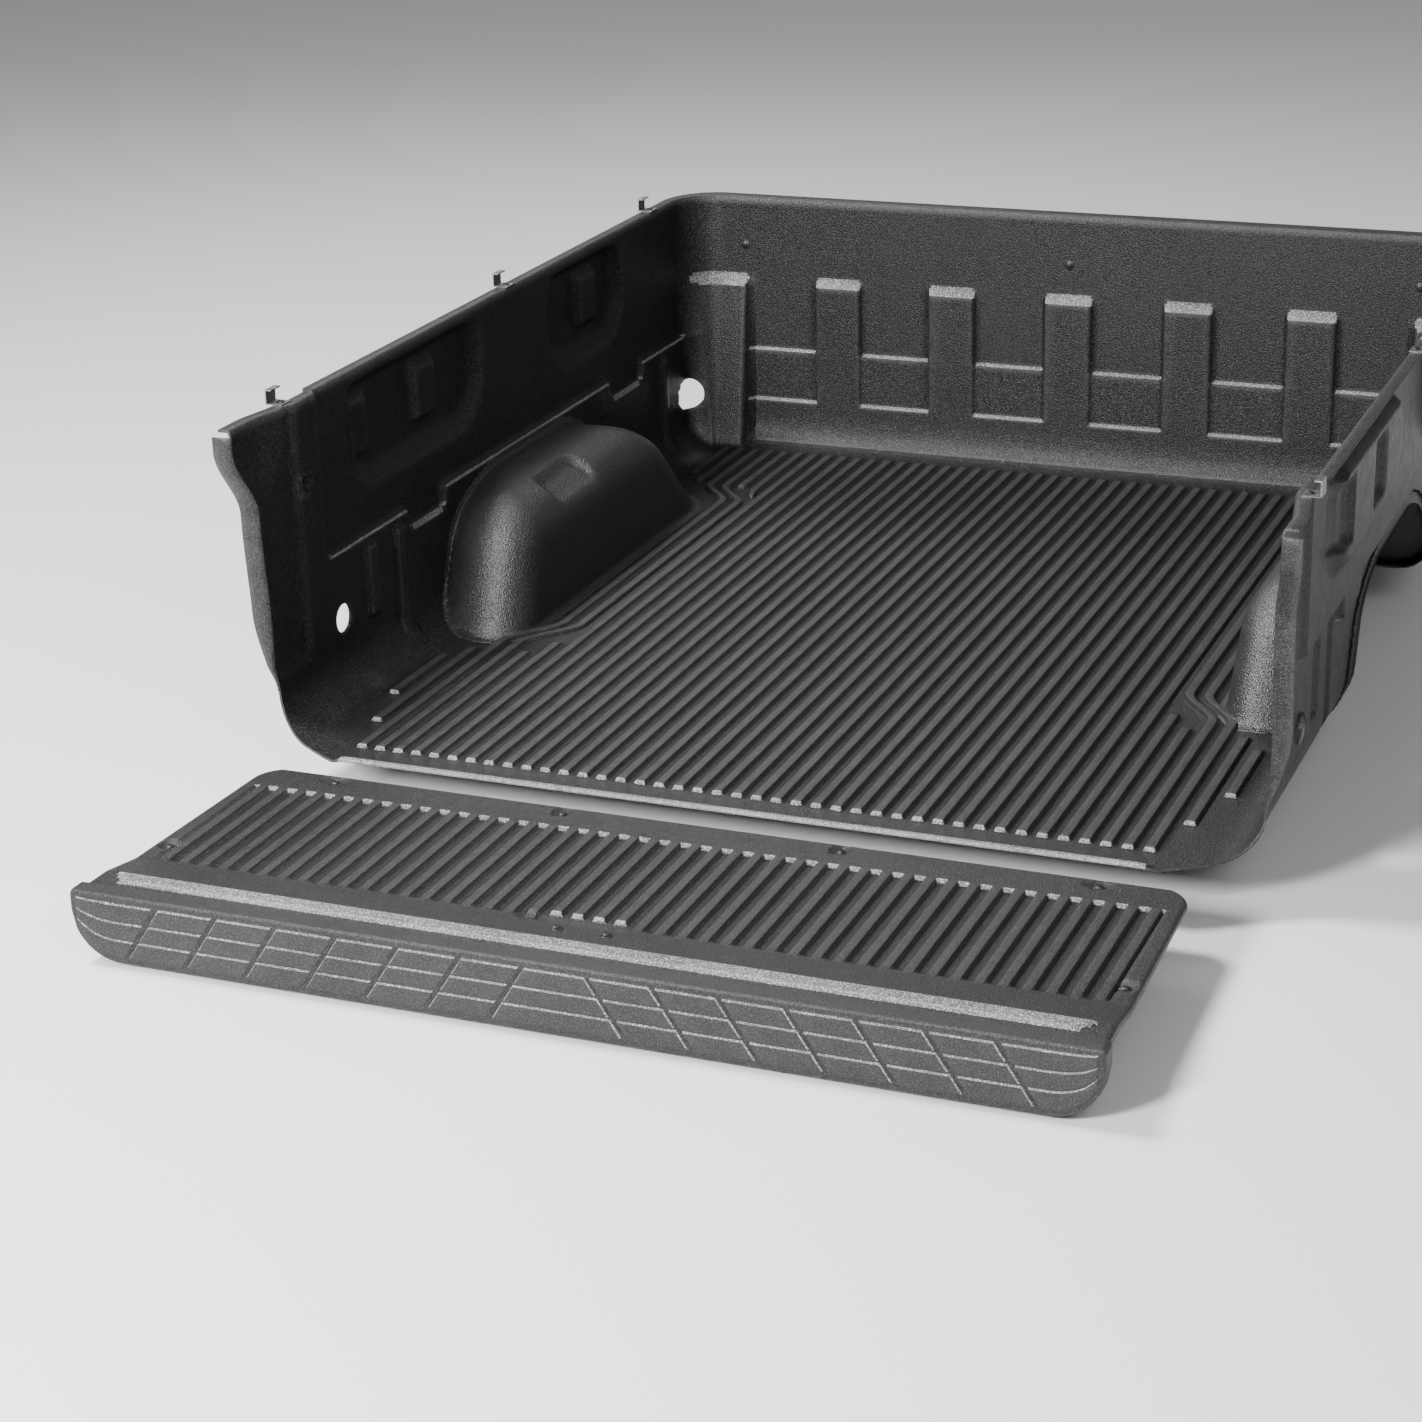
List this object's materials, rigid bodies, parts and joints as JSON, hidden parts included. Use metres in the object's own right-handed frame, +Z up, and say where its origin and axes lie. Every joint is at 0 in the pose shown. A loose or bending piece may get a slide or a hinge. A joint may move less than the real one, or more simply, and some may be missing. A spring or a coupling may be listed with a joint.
{
  "type": "truck bed liner",
  "caption": "Ribbed drop-in liner for a pickup truck's load bed, with wheel-well covers, a hinged tailgate liner and a tread cap over the tailgate's edge.",
  "frame": {"origin": "underside of the tub floor, on the centre line, level with the rear ends of the floor ribs", "axes": "+X to the truck's right, +Y towards the cab, +Z up; the tailgate liner lies behind the tub with the tailgate down"},
  "size_m": [1.76, 2.6285, 0.6555],
  "materials": {
    "tub_plastic": "black textured polyethylene",
    "gate_plastic": "black textured polyethylene, slightly weathered",
    "screw_steel": "black coated steel",
    "clip_steel": "zinc plated spring steel"
  },
  "bodies": {
    "tub": {"tub_floor": "tub_plastic", "front_wall": "tub_plastic", "side_wall_left": "tub_plastic", "side_wall_right": "tub_plastic", "wheel_well_left": "tub_plastic", "wheel_well_right": "tub_plastic", "front_wall_screws": "screw_steel", "front_wall_washers": "screw_steel", "rail_clips_left": "clip_steel", "rail_clips_right": "clip_steel", "rail_clip_screws_left": "screw_steel", "rail_clip_screws_right": "screw_steel"},
    "tailgate": {"tailgate_liner": "gate_plastic", "tailgate_cap": "gate_plastic", "tailgate_screws": "screw_steel", "tailgate_washers": "screw_steel", "latch_screws": "screw_steel", "latch_washers": "screw_steel", "cap_screws": "screw_steel", "cap_nut_clips": "clip_steel"}
  },
  "joints": [
    {"name": "tailgate_swing", "type": "hinge", "parent": "tub", "child": "tailgate", "pos_m": [0, -0.104, -0.025], "axis": [-1, 0, 0], "range_deg": [0, 90]}
  ]
}
